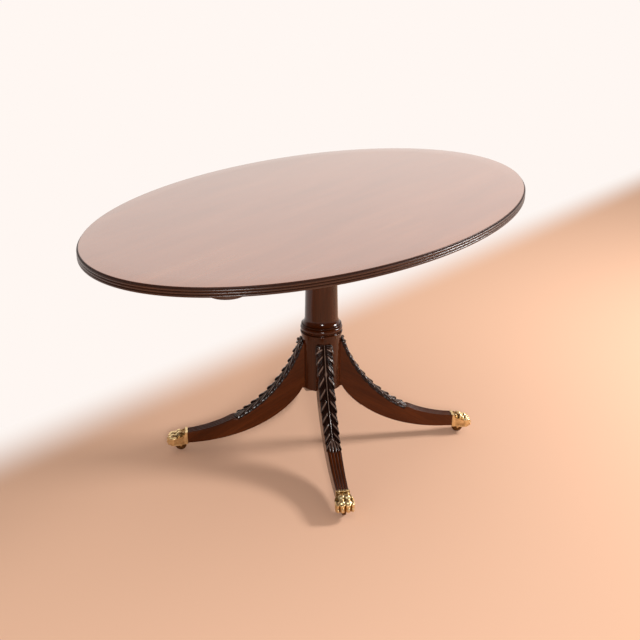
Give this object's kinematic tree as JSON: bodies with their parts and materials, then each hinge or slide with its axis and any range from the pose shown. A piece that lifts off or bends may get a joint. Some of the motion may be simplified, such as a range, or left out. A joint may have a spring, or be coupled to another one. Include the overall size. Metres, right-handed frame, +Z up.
{
  "type": "pedestal breakfast table",
  "caption": "Oval dining table with a reeded edge on a turned column and drum, with downswept carved legs that end in paw caps on swivel castors.",
  "frame": {"origin": "on the floor under the middle of the top", "axes": "+X along the long axis of the top, +Y across it, +Z up"},
  "size_m": [1.54, 0.97, 0.737],
  "materials": {
    "mahogany_top": "polished mahogany with a straight grain along the top",
    "mahogany": "dark red-brown french polished mahogany",
    "dark_wood": "satin stained hardwood",
    "brass": "polished cast brass",
    "iron": "dull dark iron plate",
    "steel": "plain steel"
  },
  "bodies": {
    "root": {"top_panel": "mahogany_top", "reeded_lipping": "mahogany", "bearer_front": "dark_wood", "bearer_back": "dark_wood", "cleat_left": "dark_wood", "cleat_right": "dark_wood", "pillar_block": "dark_wood", "column": "mahogany", "drum": "mahogany", "tie_rod": "steel", "rod_nuts": "steel", "rod_washers": "steel", "spider_plate": "iron", "bearer_screws": "steel", "cleat_screws": "steel", "block_screws": "steel", "spider_screws": "steel", "cap_pins": "brass", "leg_front_left": "mahogany", "paw_cap_front_left": "brass", "leg_front_right": "mahogany", "paw_cap_front_right": "brass", "leg_back_left": "mahogany", "paw_cap_back_left": "brass", "leg_back_right": "mahogany", "paw_cap_back_right": "brass"},
    "castor_front_left": {"castor_horn_front_left": "brass", "castor_axle_front_left": "brass"},
    "wheel_front_left": {"castor_wheel_front_left": "brass"},
    "castor_front_right": {"castor_horn_front_right": "brass", "castor_axle_front_right": "brass"},
    "wheel_front_right": {"castor_wheel_front_right": "brass"},
    "castor_back_left": {"castor_horn_back_left": "brass", "castor_axle_back_left": "brass"},
    "wheel_back_left": {"castor_wheel_back_left": "brass"},
    "castor_back_right": {"castor_horn_back_right": "brass", "castor_axle_back_right": "brass"},
    "wheel_back_right": {"castor_wheel_back_right": "brass"}
  },
  "joints": [
    {"name": "swivel_front_left", "type": "hinge", "parent": "root", "child": "castor_front_left", "pos_m": [-0.29981, -0.29981, 0.044], "axis": [0, 0, 1], "continuous": true},
    {"name": "roll_front_left", "type": "hinge", "parent": "castor_front_left", "child": "wheel_front_left", "pos_m": [-0.29663, -0.29663, 0.016], "axis": [0.7071, -0.7071, 0], "continuous": true},
    {"name": "swivel_front_right", "type": "hinge", "parent": "root", "child": "castor_front_right", "pos_m": [0.29981, -0.29981, 0.044], "axis": [0, 0, 1], "continuous": true},
    {"name": "roll_front_right", "type": "hinge", "parent": "castor_front_right", "child": "wheel_front_right", "pos_m": [0.29663, -0.29663, 0.016], "axis": [0.7071, 0.7071, 0], "continuous": true},
    {"name": "swivel_back_left", "type": "hinge", "parent": "root", "child": "castor_back_left", "pos_m": [-0.29981, 0.29981, 0.044], "axis": [0, 0, 1], "continuous": true},
    {"name": "roll_back_left", "type": "hinge", "parent": "castor_back_left", "child": "wheel_back_left", "pos_m": [-0.29663, 0.29663, 0.016], "axis": [-0.7071, -0.7071, 0], "continuous": true},
    {"name": "swivel_back_right", "type": "hinge", "parent": "root", "child": "castor_back_right", "pos_m": [0.29981, 0.29981, 0.044], "axis": [0, 0, 1], "continuous": true},
    {"name": "roll_back_right", "type": "hinge", "parent": "castor_back_right", "child": "wheel_back_right", "pos_m": [0.29663, 0.29663, 0.016], "axis": [-0.7071, 0.7071, 0], "continuous": true}
  ]
}
